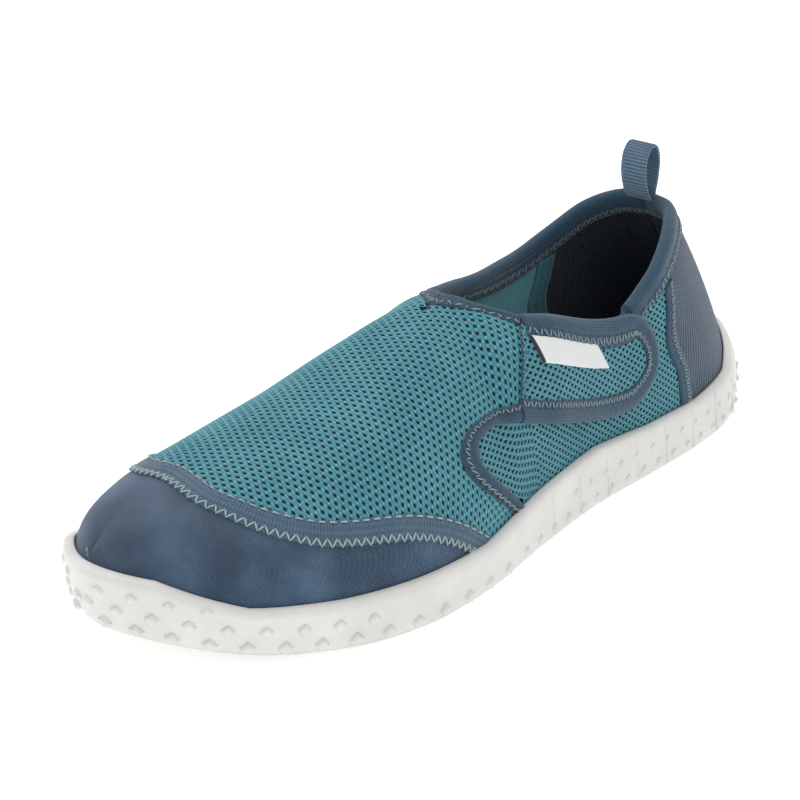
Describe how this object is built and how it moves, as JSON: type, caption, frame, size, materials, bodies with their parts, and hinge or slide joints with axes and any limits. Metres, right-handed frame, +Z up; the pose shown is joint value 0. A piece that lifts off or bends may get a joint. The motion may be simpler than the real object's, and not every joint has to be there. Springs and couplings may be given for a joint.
{
  "type": "slip-on water shoe",
  "caption": "Low slip-on shoe for water sports: white rubber cup sole, mesh and neoprene upper, bound collar, side strap that opens and a heel pull tab.",
  "frame": {"origin": "middle of the bounding box at ground level, with the flat ground face of the sole at z = 0", "axes": "-Y points to the toe, +Y to the heel, +X to the outer side of the foot, +Z up"},
  "size_m": [0.098, 0.2832, 0.102],
  "materials": {
    "sole": "satin warm white moulded rubber",
    "board": "pressed fibre board, matt",
    "foam": "soft foam with a knit cover",
    "navy": "neoprene faced with fine slate-navy knit",
    "teal": "open spacer mesh, teal",
    "knit": "plain teal knit lining and tape",
    "tape": "slate-navy woven tape, binding and webbing",
    "dark": "dark navy knit lining",
    "plate": "stiff thermoplastic sheet",
    "label": "white woven label, plain",
    "hook": "hook and loop fastener"
  },
  "bodies": {
    "shoe": {"outsole": "sole", "insole_board": "board", "sockliner": "foam", "toe_panel": "navy", "toe_seam_tape": "tape", "vamp_mesh": "teal", "vamp_lining": "knit", "inside_seam_tape": "knit", "quarter_mesh": "teal", "quarter_lining": "knit", "vamp_edge_binding": "tape", "heel_panel": "navy", "heel_counter": "plate", "heel_lining": "dark", "heel_seam_tape_outer": "tape", "heel_seam_tape_inner": "tape", "collar_binding": "tape", "loop_patch": "hook"},
    "strap": {"hook_patch": "hook", "strap_mesh": "teal", "strap_binding": "tape", "strap_label": "label"},
    "tab": {"pull_tab": "tape"}
  },
  "joints": [
    {"name": "strap_hinge", "type": "hinge", "parent": "shoe", "child": "strap", "pos_m": [0.0315, -0.00104, 0.05485], "axis": [0.4791, -0.4441, -0.7571], "range_deg": [0, 100]},
    {"name": "tab_hinge", "type": "hinge", "parent": "shoe", "child": "tab", "pos_m": [-0.00038, 0.1011, 0.0827], "axis": [1, 0, 0], "range_deg": [-50, 70], "stiffness_Nm_per_rad": 0.02}
  ]
}
